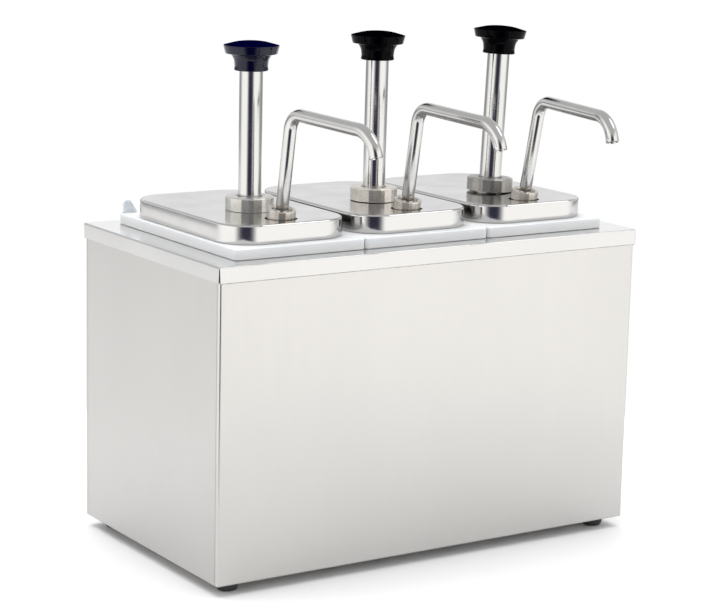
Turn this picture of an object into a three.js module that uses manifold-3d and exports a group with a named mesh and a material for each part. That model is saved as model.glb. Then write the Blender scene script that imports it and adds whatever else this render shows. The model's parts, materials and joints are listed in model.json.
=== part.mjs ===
// Countertop condiment dispenser: a stainless steel cabinet that holds three plastic jars,
// each with a pressed lid and a plunger pump with a swivelling spout.
// Units are millimetres. +Z is up, +X runs along the cabinet and -Y is the serving side.

import * as THREE from 'three';
import { mergeVertices } from 'three/addons/utils/BufferGeometryUtils.js';
import Module from 'manifold-3d';

const wasm = await Module();
wasm.setup();

// Gaps
const GAP = 0.3; // between two pieces that rest on or fit into each other
const EPS = 1; // how far a cutter runs past the face that it opens

// Cabinet
const FOOT_H = 12;
const CABINET_W = 550;
const CABINET_D = 312;
const CABINET_H = 343.5;
const SHEET = 1.2;
const TOP_SHEET = 1.5;
const SKIRT_H = 17.4;
const PAN_RIM_H = 12;
const FOOT_R = 12;
const FOOT_SOLE_R = 7;
const FOOT_DOME_H = 5;
const FOOT_INSET_X = 27;
const FOOT_INSET_Y = 25;
const CABINET_TOP = FOOT_H + CABINET_H;
const PANEL_W = CABINET_W - 2 * (SHEET + GAP);
const PANEL_D = CABINET_D - 2 * (SHEET + GAP);
const PANEL_TOP = CABINET_TOP - TOP_SHEET - GAP;

// Jars: three in a row, hung by their flanges
const PITCH = 162;
const FLANGE_W = PITCH - 2 * GAP;
const FLANGE_D = 265;
const FLANGE_H = 11.9;
const FLANGE_CORNER_R = 5;
const JAR_W = 143;
const JAR_D = 231;
const JAR_WALL = 3;
const JAR_TAPER = 6;
const JAR_CORNER_R = 34;
const JAR_BOTTOM = 85;
const NECK_H = 8;
const WELL_PLAY = 1.5;
const EAR_W = 20;
const EAR_H = 15;
const EAR_T = 3;
const EAR_INSET = 2;
const FLANGE_BOTTOM = CABINET_TOP + GAP;
const FLANGE_TOP = FLANGE_BOTTOM + FLANGE_H;
const NECK_TOP = FLANGE_TOP + NECK_H;
const WELL_W = 2 * PITCH + JAR_W + 2 * WELL_PLAY;
const WELL_D = JAR_D + 2 * WELL_PLAY;

// Lids
const LID_W = 152;
const LID_D = 239;
const LID_H = 20.7;
const LID_CORNER_R = 39;
const LID_EDGE_R = 3;
const LID_BOTTOM = FLANGE_TOP + GAP;
const LID_TOP = LID_BOTTOM + LID_H;

// Pump: the riser and the spout's leg lean towards the front, away from the plunger
const PLUNGER_Y = -22;
const SPOUT_Y = -89;
const LEG_TILT = THREE.MathUtils.degToRad(9.4);
const STROKE = 80;
const SPRING_PACKED_H = 27.3; // room that the coils keep at full stroke
const BODY_R = 17.3;
const BORE_R = 15.3;
const BODY_BOTTOM = 134;
const SPRING_SEAT_H = 2;
const SPRING_SEAT_HOLE_R = 8;
const STUB_H = 11;
const HEAD_R = 24;
const HEAD_H = 3;
const COLLAR_R = 26.6;
const COLLAR_H = 15.3;
const COLLAR_WEB_H = 3.7;
const COLLAR_BORE_R = 14.2;
const COLLAR_BEVEL = 1.4;
const COLLAR_CORNERS = 8;
const COLLAR_FLAT_SHARE = 0.62;
const BUSHING_H = 36;
const BUSHING_INSET = 2;
const TUBE_R = 12.7;
const TUBE_WALL = 1.2;
const KNOB_SOCKET_H = 12;
const KNOB_H = 32.4;
const KNOB_CROWN_R = 94;
const PISTON_R = 14.7;
const PISTON_H = 14;
const TUBE_BOTTOM = BODY_BOTTOM + SPRING_SEAT_H + SPRING_PACKED_H + STROKE + PISTON_H + GAP;
const PISTON_SPIGOT_H = 10;
const SEAL_H = 6;
const SEAL_DEPTH = 2;
const SPRING_WIRE_R = 1;
const SPRING_R = 10.5;
const SPRING_TURNS = 7;
const SPRING_STEPS_PER_TURN = 7;

// Foot valve
const VALVE_R = 21.5;
const VALVE_BOTTOM = 98;
const VALVE_TOP = 158;
const VALVE_SEAT = 118;
const CHAMBER_R = 12;
const INLET_R = 6;
const BALL_R = 9;
const BOSS_R = 11;
const BOSS_BELOW = 16;
const BOSS_ABOVE = 18;
const CHANNEL_R = 3;

// Riser, union nut and spout, measured along the leg from the lid's top face
const RISER_R = 7;
const RISER_WALL = 1.5;
const RISER_FOOT = -250.4;
const RISER_STUB_R = 12.6;
const RISER_STUB_FROM = -8;
const RISER_STUB_TO = 3.7;
const NUT_R = 15.5;
const NUT_FROM = -1;
const NUT_LIP = 6.3;
const NUT_TO = 11;
const NUT_LIP_R = 10.4;
const NUT_BEVEL = 0.8;
const NUT_CORNERS = 6;
const NUT_FLAT_SHARE = 0.5;
const LID_HOLE_R = 17.6;
const FERRULE_FLANGE_H = 2;
const FERRULE_FLANGE_R = 11.9;
const FERRULE_NECK_R = 9.9;
const FERRULE_TO = 10.2;
const SPOUT_R = 7;
const SPOUT_WALL = 1;
const LEG_L = 116;
const ARM_L = 138;
const ARM_RISE = THREE.MathUtils.degToRad(7.3); // above square to the leg, so the arm droops a little
const TIP_L = 26.5;
const TIP_DROP = THREE.MathUtils.degToRad(59.6);
const ELBOW_R = 20;
const TIP_BEND_R = 32;

// Sides of the turned solids, and segments in the quarter circle of a rounded corner
const ROUND = 16;
const ROUND_FOOT = 12;
const CORNER = 3;
const LID_CORNER = 4;

// Each bay's place, its knob's height above the lid, the pump's play in the lid and its sideways lean,
// the spout's resting yaw, and how far its two nuts are turned when tight; angles are in degrees
const BAYS = [
  { side: 'left', x: -PITCH, knobRise: 152, play: GAP, lean: 0, yaw: 4, collarTurn: 30, nutTurn: 17 },
  { side: 'middle', x: 0, knobRise: 158.5, play: 0.6, lean: 0.4, yaw: 1, collarTurn: 5, nutTurn: 2 },
  { side: 'right', x: PITCH, knobRise: 160.5, play: 1.5, lean: 2.5, yaw: -5, collarTurn: 16, nutTurn: -3 },
];

const finish = (color, roughness, metalness) =>
  new THREE.MeshStandardMaterial({ color, roughness, metalness });
const looks = {
  cabinet: finish(0xd9d7d2, 0.35, 1),
  lid: finish(0xd2d1cd, 0.2, 1),
  tube: finish(0xdcdad5, 0.12, 1),
  casting: finish(0x9c9a94, 0.5, 1),
  innerSteel: finish(0xbdbdbb, 0.3, 1),
  spring: finish(0xa9abae, 0.3, 1),
  jar: finish(0xdfe4e8, 0.45, 0),
  knob: finish(0x0b0c1c, 0.15, 0),
  bushing: finish(0xe9e8e2, 0.5, 0),
  seal: finish(0x2b2b2b, 0.8, 0),
  foot: finish(0x161616, 0.8, 0),
};

// ---- helpers ----

function named(name, geometry, material) {
  const mesh = new THREE.Mesh(geometry, material);
  mesh.name = name;
  return mesh;
}

function toSolid(geometry) {
  const bare = geometry.clone();
  bare.deleteAttribute('normal');
  bare.deleteAttribute('uv');
  const merged = mergeVertices(bare, 1e-4);
  const vertProperties = new Float32Array(merged.attributes.position.array);
  const triVerts = new Uint32Array(merged.index.array);
  return new wasm.Manifold(new wasm.Mesh({ numProp: 3, vertProperties, triVerts }));
}

function toGeometry(solid) {
  const mesh = solid.getMesh();
  const geometry = new THREE.BufferGeometry();
  geometry.setAttribute('position', new THREE.BufferAttribute(mesh.vertProperties, 3));
  geometry.setIndex(new THREE.BufferAttribute(mesh.triVerts, 1));
  return geometry;
}

function joinAndCut(joined, cutters) {
  const [first, ...others] = joined.map(toSolid);
  const whole = others.reduce((body, next) => body.add(next), first);
  return toGeometry(cutters.map(toSolid).reduce((body, next) => body.subtract(next), whole));
}

// Box from its lowest to its highest corner
function block(low, high) {
  const size = high.map((value, i) => value - low[i]);
  const centre = high.map((value, i) => (value + low[i]) / 2);
  return new THREE.BoxGeometry(...size).translate(...centre);
}

// Solid of revolution about Z; the outline's points are [radius, height], listed upwards on the outside
function turned(outline, segments = ROUND) {
  const points = outline.map(([r, h]) => new THREE.Vector2(r, h));
  return new THREE.LatheGeometry(points, segments).rotateX(Math.PI / 2);
}

function disc(radius, from, to, segments = ROUND) {
  return turned([[0, from], [radius, from], [radius, to], [0, to]], segments);
}

function pipe(inner, outer, from, to, segments = ROUND) {
  return turned([[inner, from], [outer, from], [outer, to], [inner, to], [inner, from]], segments);
}

function roundedRectangle(width, depth, radius) {
  const x = width / 2;
  const y = depth / 2;
  const shape = new THREE.Shape();
  shape.absarc(x - radius, y - radius, radius, 0, Math.PI / 2);
  shape.absarc(-x + radius, y - radius, radius, Math.PI / 2, Math.PI);
  shape.absarc(-x + radius, -y + radius, radius, Math.PI, 1.5 * Math.PI);
  shape.absarc(x - radius, -y + radius, radius, 1.5 * Math.PI, 2 * Math.PI);
  shape.closePath();
  return shape;
}

function slab(shape, from, to, curveSegments = CORNER) {
  const options = { depth: to - from, bevelEnabled: false, curveSegments };
  return new THREE.ExtrudeGeometry(shape, options).translate(0, 0, from);
}

// Slab whose width and depth shrink by the taper at its lower face
function taperedSlab(width, depth, radius, from, to, taper) {
  const geometry = slab(roundedRectangle(width, depth, radius), from, to);
  const position = geometry.attributes.position;
  for (let i = 0; i < position.count; i += 1) {
    const low = (to - position.getZ(i)) / (to - from);
    position.setX(i, position.getX(i) * (1 - (low * taper) / width));
    position.setY(i, position.getY(i) * (1 - (low * taper) / depth));
  }
  return geometry;
}

// Bevelled blank for a nut whose corners are cut off, so its flats and its cut corners take turns;
// the flat share is the part of each turn that the flat takes
function nutBlank(radius, from, to, bevel, corners, flatShare, turn) {
  const step = (2 * Math.PI) / corners;
  const halfFlat = (flatShare * step) / 2;
  const points = [];
  for (let i = 0; i < corners; i += 1) {
    for (const angle of [i * step - halfFlat, i * step + halfFlat]) {
      points.push(new THREE.Vector2(radius * Math.cos(angle), radius * Math.sin(angle)));
    }
  }
  const options = {
    depth: to - from - 2 * bevel,
    bevelThickness: bevel,
    bevelSize: bevel,
    bevelOffset: -bevel,
    bevelSegments: 1,
  };
  const blank = new THREE.ExtrudeGeometry(new THREE.Shape(points), options);
  return blank.translate(0, 0, from + bevel).rotateZ(THREE.MathUtils.degToRad(turn));
}

// Round bar between two points of the YZ plane
function bar(radius, from, to) {
  const lean = Math.atan2(from.y - to.y, to.z - from.z);
  return disc(radius, 0, from.distanceTo(to)).rotateX(lean).translate(0, from.y, from.z);
}

// Centre line of the spout in the plane of its leg: leg, elbow, arm, tip bend and tip.
// Each run takes a share of the parameter that fits how much it bends.
class SpoutLine extends THREE.Curve {
  constructor(from) {
    super();
    const up = new THREE.Vector3(0, 0, 1);
    const along = new THREE.Vector3(0, -Math.cos(ARM_RISE), Math.sin(ARM_RISE));
    const down = new THREE.Vector3(0, -Math.cos(TIP_DROP), -Math.sin(TIP_DROP));
    const start = new THREE.Vector3(0, 0, from);
    const elbow = new THREE.Vector3(0, 0, LEG_L);
    const bend = elbow.clone().addScaledVector(along, ARM_L);
    const end = bend.clone().addScaledVector(down, TIP_L);
    const elbowCut = ELBOW_R * Math.tan(up.angleTo(along) / 2);
    const bendCut = TIP_BEND_R * Math.tan(along.angleTo(down) / 2);
    const elbowIn = elbow.clone().addScaledVector(up, -elbowCut);
    const elbowOut = elbow.clone().addScaledVector(along, elbowCut);
    const bendIn = bend.clone().addScaledVector(along, -bendCut);
    const bendOut = bend.clone().addScaledVector(down, bendCut);
    this.runs = [
      { steps: 1, at: (t) => start.clone().lerp(elbowIn, t) },
      { steps: 5, at: SpoutLine.arc(elbowIn, elbowOut, up, ELBOW_R) },
      { steps: 1, at: (t) => elbowOut.clone().lerp(bendIn, t) },
      { steps: 4, at: SpoutLine.arc(bendIn, bendOut, along, TIP_BEND_R) },
      { steps: 1, at: (t) => bendOut.clone().lerp(end, t) },
    ];
    this.steps = this.runs.reduce((sum, run) => sum + run.steps, 0);
  }

  // Circular arc between two points in the YZ plane that starts along a direction and bends to the front
  static arc(from, to, direction, radius) {
    const normal = new THREE.Vector3(0, -direction.z, direction.y);
    const centre = from.clone().addScaledVector(normal, radius);
    const first = from.clone().sub(centre);
    const sweep = first.angleTo(to.clone().sub(centre));
    const axis = new THREE.Vector3(1, 0, 0);
    return (t) => first.clone().applyAxisAngle(axis, sweep * t).add(centre);
  }

  getPoint(t, target = new THREE.Vector3()) {
    let station = t * this.steps;
    for (const run of this.runs) {
      if (station <= run.steps || run === this.runs[this.runs.length - 1]) {
        return target.copy(run.at(station / run.steps));
      }
      station -= run.steps;
    }
    return target;
  }

  getPointAt(u, target) {
    return this.getPoint(u, target);
  }

  getTangentAt(u, target) {
    return this.getTangent(u, target);
  }
}

// Centre line of a coil spring about Z
class CoilLine extends THREE.Curve {
  constructor(radius, from, to, turns) {
    super();
    Object.assign(this, { radius, from, to, turns });
  }

  getPoint(t, target = new THREE.Vector3()) {
    const angle = 2 * Math.PI * this.turns * t;
    const height = this.from + (this.to - this.from) * t;
    return target.set(this.radius * Math.cos(angle), this.radius * Math.sin(angle), height);
  }
}

// ---- cabinet ----

function frontAndBackPanels() {
  const x = PANEL_W / 2;
  const y = PANEL_D / 2;
  return [
    named('front_panel', block([-x, -y, FOOT_H], [x, -y + SHEET, PANEL_TOP]), looks.cabinet),
    named('back_panel', block([-x, y - SHEET, FOOT_H], [x, y, PANEL_TOP]), looks.cabinet),
  ];
}

function sidePanels() {
  const x = PANEL_W / 2;
  const y = PANEL_D / 2 - SHEET - GAP;
  return [
    named('left_side_panel', block([-x, -y, FOOT_H], [-x + SHEET, y, PANEL_TOP]), looks.cabinet),
    named('right_side_panel', block([x - SHEET, -y, FOOT_H], [x, y, PANEL_TOP]), looks.cabinet),
  ];
}

function basePan() {
  const x = PANEL_W / 2 - SHEET - GAP;
  const y = PANEL_D / 2 - SHEET - GAP;
  const rim = FOOT_H + PAN_RIM_H;
  const tray = block([-x, -y, FOOT_H], [x, y, rim]);
  const inside = block(
    [-x + SHEET, -y + SHEET, FOOT_H + SHEET],
    [x - SHEET, y - SHEET, rim + EPS],
  );
  return named('base_pan', joinAndCut([tray], [inside]), looks.cabinet);
}

// Frame round the well that the jars hang in, folded down outside the panels and into the well
function topFrame() {
  const x = CABINET_W / 2;
  const y = CABINET_D / 2;
  const lipX = WELL_W / 2 + SHEET;
  const lipY = WELL_D / 2 + SHEET;
  const skirtBottom = CABINET_TOP - SKIRT_H;
  const lipBottom = CABINET_TOP - PAN_RIM_H;
  const underside = CABINET_TOP - TOP_SHEET;
  const skirt = block([-x, -y, skirtBottom], [x, y, CABINET_TOP]);
  const skirtInside = block(
    [-x + SHEET, -y + SHEET, skirtBottom - EPS],
    [x - SHEET, y - SHEET, underside],
  );
  const lip = block([-lipX, -lipY, lipBottom], [lipX, lipY, CABINET_TOP]);
  const well = block(
    [-WELL_W / 2, -WELL_D / 2, lipBottom - EPS],
    [WELL_W / 2, WELL_D / 2, CABINET_TOP + EPS],
  );
  const shell = joinAndCut([skirt], [skirtInside]);
  return named('top_frame', joinAndCut([shell, lip], [well]), looks.cabinet);
}

function feet() {
  const x = CABINET_W / 2 - FOOT_INSET_X;
  const y = CABINET_D / 2 - FOOT_INSET_Y;
  const top = FOOT_H - GAP;
  const dome = [0, Math.PI / 6, Math.PI / 3, Math.PI / 2].map((angle) => [
    FOOT_SOLE_R + (FOOT_R - FOOT_SOLE_R) * Math.sin(angle),
    FOOT_DOME_H * (1 - Math.cos(angle)),
  ]);
  const outline = [[0, 0], ...dome, [FOOT_R, top], [0, top]];
  const corners = [
    ['foot_front_left', -x, -y],
    ['foot_front_right', x, -y],
    ['foot_back_left', -x, y],
    ['foot_back_right', x, y],
  ];
  return corners.map(([name, footX, footY]) => {
    const foot = named(name, turned(outline, ROUND_FOOT), looks.foot);
    foot.position.set(footX, footY, 0);
    return foot;
  });
}

// ---- one bay: jar, lid and pump, drawn about the bay's own middle ----

function jar() {
  const flangeShape = roundedRectangle(FLANGE_W, FLANGE_D, FLANGE_CORNER_R);
  const body = taperedSlab(JAR_W, JAR_D, JAR_CORNER_R, JAR_BOTTOM, FLANGE_BOTTOM + EPS, JAR_TAPER);
  const flange = slab(flangeShape, FLANGE_BOTTOM, FLANGE_TOP);
  const neck = slab(roundedRectangle(JAR_W - 2, JAR_D - 2, JAR_CORNER_R), FLANGE_BOTTOM, NECK_TOP);
  const hollow = taperedSlab(
    JAR_W - 2 * JAR_WALL,
    JAR_D - 2 * JAR_WALL,
    JAR_CORNER_R - JAR_WALL,
    JAR_BOTTOM + JAR_WALL,
    NECK_TOP + EPS,
    JAR_TAPER,
  );
  return joinAndCut([body, flange, neck, liftingEar()], [hollow]);
}

// Rounded ear that stands on the flange at the jar's back left corner, to lift the jar by
function liftingEar() {
  const outline = new THREE.Shape();
  outline.moveTo(0, -1);
  outline.lineTo(EAR_W, -1);
  outline.lineTo(EAR_W, 1);
  outline.quadraticCurveTo(EAR_W * 0.75, EAR_H * 0.95, EAR_W * 0.4, EAR_H);
  outline.quadraticCurveTo(EAR_W * 0.12, EAR_H, EAR_W * 0.14, EAR_H * 0.35);
  outline.lineTo(0, 1);
  outline.closePath();
  const options = { depth: EAR_T, bevelEnabled: false, curveSegments: CORNER };
  const ear = new THREE.ExtrudeGeometry(outline, options).rotateX(Math.PI / 2);
  return ear.translate(-FLANGE_W / 2 + EAR_INSET, FLANGE_D / 2, FLANGE_TOP);
}

// Pressed cap with a rounded top edge and holes for the pump's head and for the union nut
function lid() {
  const options = {
    depth: LID_H - LID_EDGE_R,
    bevelEnabled: true,
    bevelThickness: LID_EDGE_R,
    bevelSize: LID_EDGE_R,
    bevelOffset: -LID_EDGE_R,
    bevelSegments: 1,
    curveSegments: LID_CORNER,
  };
  const cap = new THREE.ExtrudeGeometry(roundedRectangle(LID_W, LID_D, LID_CORNER_R), options);
  cap.translate(0, 0, LID_BOTTOM);
  const hollow = slab(
    roundedRectangle(LID_W - 2 * SHEET, LID_D - 2 * SHEET, LID_CORNER_R - SHEET),
    LID_BOTTOM - LID_EDGE_R - EPS,
    LID_TOP - LID_EDGE_R,
    LID_CORNER,
  );
  const hollowTop = slab(
    roundedRectangle(LID_W - 2 * LID_EDGE_R, LID_D - 2 * LID_EDGE_R, LID_CORNER_R - LID_EDGE_R),
    LID_BOTTOM,
    LID_TOP - SHEET,
    LID_CORNER,
  );
  const below = slab(
    roundedRectangle(2 * LID_W, 2 * LID_D, LID_CORNER_R),
    LID_BOTTOM - 2 * LID_EDGE_R,
    LID_BOTTOM,
    1,
  );
  const headHole = disc(BODY_R + GAP, LID_BOTTOM, LID_TOP + EPS).translate(0, PLUNGER_Y, 0);
  const nutHole = disc(LID_HOLE_R, LID_BOTTOM, LID_TOP + EPS).translate(0, SPOUT_Y, 0);
  return joinAndCut([cap], [hollow, hollowTop, below, headHole, nutHole]);
}

// Cylinder with a head flange under the lid, a threaded stub above it and a spring seat at its foot
function pumpCylinder(play) {
  const headTop = LID_TOP - SHEET - play;
  const headBottom = headTop - HEAD_H;
  const seatTop = BODY_BOTTOM + SPRING_SEAT_H;
  return turned([
    [SPRING_SEAT_HOLE_R, BODY_BOTTOM],
    [BODY_R - GAP, BODY_BOTTOM],
    [BODY_R - GAP, headBottom],
    [HEAD_R, headBottom],
    [HEAD_R, headTop],
    [BODY_R - GAP, headTop],
    [BODY_R - GAP, LID_TOP + STUB_H],
    [BORE_R, LID_TOP + STUB_H],
    [BORE_R, seatTop],
    [SPRING_SEAT_HOLE_R, seatTop],
    [SPRING_SEAT_HOLE_R, BODY_BOTTOM],
  ]);
}

function lockCollar(turn, play) {
  const bottom = LID_TOP + play;
  const top = bottom + COLLAR_H;
  const body = nutBlank(
    COLLAR_R,
    bottom,
    top,
    COLLAR_BEVEL,
    COLLAR_CORNERS,
    COLLAR_FLAT_SHARE,
    turn,
  );
  const thread = disc(BODY_R, bottom - EPS, top - COLLAR_WEB_H);
  const bore = disc(COLLAR_BORE_R, bottom, top + EPS);
  return joinAndCut([body], [thread, bore]);
}

function guideBushing() {
  const top = LID_TOP + STUB_H - BUSHING_INSET;
  return pipe(TUBE_R + GAP, BORE_R - GAP, top - BUSHING_H, top);
}

function plungerTube(knobBottom) {
  return pipe(TUBE_R - TUBE_WALL, TUBE_R, TUBE_BOTTOM, knobBottom + KNOB_SOCKET_H);
}

// Mushroom knob: flared foot, hollow neck, widening rim and a crown that is part of a large ball
function knob(bottom) {
  const socketR = TUBE_R + GAP;
  const side = [
    [0, KNOB_SOCKET_H + GAP],
    [socketR, KNOB_SOCKET_H + GAP],
    [socketR, 0],
    [17.9, 0],
    [18.9, 1.4],
    [18.3, 6],
    [18.9, 10],
    [20.2, 13.5],
    [22.5, 16.6],
    [27.4, 18.3],
    [28.5, 19.4],
    [30.5, 26.9],
  ];
  const crown = [30, 23, 15, 7, 0].map((r) => [r, KNOB_H - r ** 2 / (2 * KNOB_CROWN_R)]);
  return turned([...side, ...crown].map(([r, h]) => [r, bottom + h]));
}

function piston() {
  const top = TUBE_BOTTOM - GAP;
  const bottom = top - PISTON_H;
  const grooveBottom = bottom + (PISTON_H - SEAL_H) / 2 - GAP;
  const grooveTop = grooveBottom + SEAL_H + 2 * GAP;
  const grooveR = PISTON_R - SEAL_DEPTH - GAP;
  const spigotR = TUBE_R - TUBE_WALL - GAP;
  return turned([
    [0, bottom],
    [PISTON_R, bottom],
    [PISTON_R, grooveBottom],
    [grooveR, grooveBottom],
    [grooveR, grooveTop],
    [PISTON_R, grooveTop],
    [PISTON_R, top],
    [spigotR, top],
    [spigotR, top + PISTON_SPIGOT_H],
    [0, top + PISTON_SPIGOT_H],
  ]);
}

function pistonSeal() {
  const bottom = TUBE_BOTTOM - GAP - (PISTON_H + SEAL_H) / 2;
  return pipe(PISTON_R - SEAL_DEPTH, PISTON_R + GAP, bottom, bottom + SEAL_H);
}

function returnSpring() {
  const from = BODY_BOTTOM + SPRING_SEAT_H + GAP + SPRING_WIRE_R;
  const to = TUBE_BOTTOM - GAP - PISTON_H - GAP - SPRING_WIRE_R;
  const wire = new THREE.Shape().absarc(0, 0, SPRING_WIRE_R, 0, 2 * Math.PI);
  const options = {
    steps: SPRING_TURNS * SPRING_STEPS_PER_TURN,
    curveSegments: 2,
    extrudePath: new CoilLine(SPRING_R, from, to, SPRING_TURNS),
  };
  return new THREE.ExtrudeGeometry(wire, options);
}

// Valve body under the cylinder, with a leaning boss that the riser fits into
function footValve() {
  const lean = (geometry) => geometry.rotateX(LEG_TILT).translate(0, SPOUT_Y - PLUNGER_Y, LID_TOP);
  const body = disc(VALVE_R, VALVE_BOTTOM, VALVE_TOP);
  const boss = lean(disc(BOSS_R, RISER_FOOT - BOSS_BELOW, RISER_FOOT + BOSS_ABOVE));
  const bodySocket = disc(BODY_R, BODY_BOTTOM - GAP, VALVE_TOP + EPS);
  const riserSocket = lean(disc(RISER_R + GAP, RISER_FOOT - GAP, RISER_FOOT + 2 * VALVE_R));
  const boreFoot = RISER_FOOT - 2 * CHANNEL_R;
  const riserBore = lean(disc(RISER_R - RISER_WALL, boreFoot, RISER_FOOT));
  const chamber = disc(CHAMBER_R, VALVE_SEAT, BODY_BOTTOM);
  const inlet = disc(INLET_R, VALVE_BOTTOM - EPS, VALVE_SEAT + EPS);
  const channelFrom = new THREE.Vector3(0, 2 * CHANNEL_R - CHAMBER_R, VALVE_SEAT + CHANNEL_R);
  const channelTo = new THREE.Vector3(0, 0, boreFoot + EPS);
  channelTo.applyAxisAngle(new THREE.Vector3(1, 0, 0), LEG_TILT);
  channelTo.add(new THREE.Vector3(0, SPOUT_Y - PLUNGER_Y, LID_TOP));
  const channel = bar(CHANNEL_R, channelFrom, channelTo);
  return joinAndCut([body, boss], [bodySocket, riserSocket, riserBore, chamber, inlet, channel]);
}

function checkBall() {
  const rest = Math.sqrt(BALL_R ** 2 - INLET_R ** 2) + 2 * GAP;
  const ball = new THREE.SphereGeometry(BALL_R, ROUND, 8).rotateX(Math.PI / 2);
  return ball.translate(0, 0, VALVE_SEAT + rest);
}

function riserTube() {
  const inner = RISER_R - RISER_WALL;
  return turned(
    [
      [inner, RISER_FOOT],
      [RISER_R, RISER_FOOT],
      [RISER_R, RISER_STUB_FROM],
      [RISER_STUB_R, RISER_STUB_FROM],
      [RISER_STUB_R, RISER_STUB_TO],
      [inner, RISER_STUB_TO],
      [inner, RISER_FOOT],
    ],
  );
}

function unionNut(turn) {
  const body = nutBlank(NUT_R, NUT_FROM, NUT_TO, NUT_BEVEL, NUT_CORNERS, NUT_FLAT_SHARE, turn);
  const thread = disc(RISER_STUB_R + GAP, NUT_FROM - EPS, NUT_LIP);
  const lip = disc(NUT_LIP_R, NUT_FROM, NUT_TO + EPS);
  return joinAndCut([body], [thread, lip]);
}

function ferrule() {
  const bottom = RISER_STUB_TO + GAP;
  const shoulder = bottom + FERRULE_FLANGE_H;
  const inner = SPOUT_R + GAP;
  return turned(
    [
      [inner, bottom],
      [FERRULE_FLANGE_R, bottom],
      [FERRULE_FLANGE_R, shoulder],
      [FERRULE_NECK_R, shoulder],
      [FERRULE_NECK_R, FERRULE_TO],
      [inner, FERRULE_TO],
      [inner, bottom],
    ],
  );
}

function spout() {
  const line = new SpoutLine(RISER_STUB_TO + GAP);
  const section = new THREE.Shape().absarc(0, 0, SPOUT_R, 0, 2 * Math.PI);
  section.holes.push(new THREE.Path().absarc(0, 0, SPOUT_R - SPOUT_WALL, 0, 2 * Math.PI));
  const options = { steps: line.steps, curveSegments: 5, extrudePath: line };
  return new THREE.ExtrudeGeometry(section, options);
}

function plungerParts({ side, knobRise, play, collarTurn }) {
  const knobBottom = LID_TOP + knobRise;
  const upright = new THREE.Group();
  upright.position.y = PLUNGER_Y;
  upright.add(
    named(`pump_cylinder_${side}`, pumpCylinder(play), looks.innerSteel),
    named(`lock_collar_${side}`, lockCollar(collarTurn, play), looks.casting),
    named(`guide_bushing_${side}`, guideBushing(), looks.bushing),
    named(`plunger_tube_${side}`, plungerTube(knobBottom), looks.tube),
    named(`knob_${side}`, knob(knobBottom), looks.knob),
    named(`piston_${side}`, piston(), looks.bushing),
    named(`piston_seal_${side}`, pistonSeal(), looks.seal),
    named(`return_spring_${side}`, returnSpring(), looks.spring),
    named(`foot_valve_${side}`, footValve(), looks.innerSteel),
    named(`check_ball_${side}`, checkBall(), looks.tube),
  );
  return upright;
}

function dischargeParts({ side, yaw, nutTurn }) {
  const leaning = new THREE.Group();
  leaning.position.set(0, SPOUT_Y, LID_TOP);
  leaning.rotation.x = LEG_TILT;
  const swivel = new THREE.Group();
  swivel.rotation.z = THREE.MathUtils.degToRad(yaw);
  swivel.add(
    named(`spout_${side}`, spout(), looks.tube),
    named(`ferrule_${side}`, ferrule(), looks.tube),
  );
  leaning.add(
    swivel,
    named(`riser_tube_${side}`, riserTube(), looks.innerSteel),
    named(`union_nut_${side}`, unionNut(nutTurn), looks.casting),
  );
  return leaning;
}

// Whole pump, which leans to the side about the line along the middle of the lid's top face
function pump(place) {
  const parts = new THREE.Group();
  parts.position.z = -LID_TOP;
  parts.add(plungerParts(place), dischargeParts(place));
  const pivot = new THREE.Group();
  pivot.position.z = LID_TOP;
  pivot.rotation.y = THREE.MathUtils.degToRad(place.lean);
  pivot.add(parts);
  return pivot;
}

function bay(place) {
  const group = new THREE.Group();
  group.position.x = place.x;
  group.add(
    named(`jar_${place.side}`, jar(), looks.jar),
    named(`lid_${place.side}`, lid(), looks.lid),
    pump(place),
  );
  return group;
}

// ---- the whole dispenser ----

const dispenser = new THREE.Group();
dispenser.add(...frontAndBackPanels(), ...sidePanels(), basePan(), topFrame(), ...feet());
dispenser.add(...BAYS.map(bay));

// The origin is the middle of the bounding box's bottom, and the spouts reach past the front panel
dispenser.updateMatrixWorld(true);
const middle = new THREE.Box3().setFromObject(dispenser, true).getCenter(new THREE.Vector3());
dispenser.position.set(-middle.x, -middle.y, 0);

export default dispenser;
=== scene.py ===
"""Looks of the condiment pump dispenser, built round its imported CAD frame.

Shapes are worked out in millimetres in the frame's own axes and turned into metres when their mesh is made.
"""

import json
import math

import bmesh
import bpy
from mathutils import Matrix, Vector


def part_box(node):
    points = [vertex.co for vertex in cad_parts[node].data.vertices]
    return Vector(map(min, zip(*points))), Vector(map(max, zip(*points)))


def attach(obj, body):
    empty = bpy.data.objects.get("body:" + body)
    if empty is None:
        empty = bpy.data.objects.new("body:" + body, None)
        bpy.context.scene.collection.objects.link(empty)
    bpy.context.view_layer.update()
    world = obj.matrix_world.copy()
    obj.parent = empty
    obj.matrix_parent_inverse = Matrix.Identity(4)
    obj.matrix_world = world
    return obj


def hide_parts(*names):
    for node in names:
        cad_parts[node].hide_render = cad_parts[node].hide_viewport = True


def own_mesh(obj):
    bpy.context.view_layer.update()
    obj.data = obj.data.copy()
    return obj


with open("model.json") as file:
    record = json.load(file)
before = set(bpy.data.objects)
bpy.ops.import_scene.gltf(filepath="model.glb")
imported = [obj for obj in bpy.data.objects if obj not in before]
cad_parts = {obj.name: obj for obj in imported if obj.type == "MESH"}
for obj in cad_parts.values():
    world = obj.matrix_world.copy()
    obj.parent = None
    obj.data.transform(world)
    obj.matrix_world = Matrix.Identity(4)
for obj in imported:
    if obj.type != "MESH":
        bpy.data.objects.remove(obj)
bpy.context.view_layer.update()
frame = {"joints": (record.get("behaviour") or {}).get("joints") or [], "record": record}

MM = 0.001
RECORD = frame["record"]
BODY_OF = {node: body for body, nodes in RECORD["behaviour"]["bodies"].items() for node in nodes}
JOINTS = {joint["name"]: joint for joint in frame["joints"]}


def box_mm(node):
    low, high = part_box(node)
    return low / MM, high / MM


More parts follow.
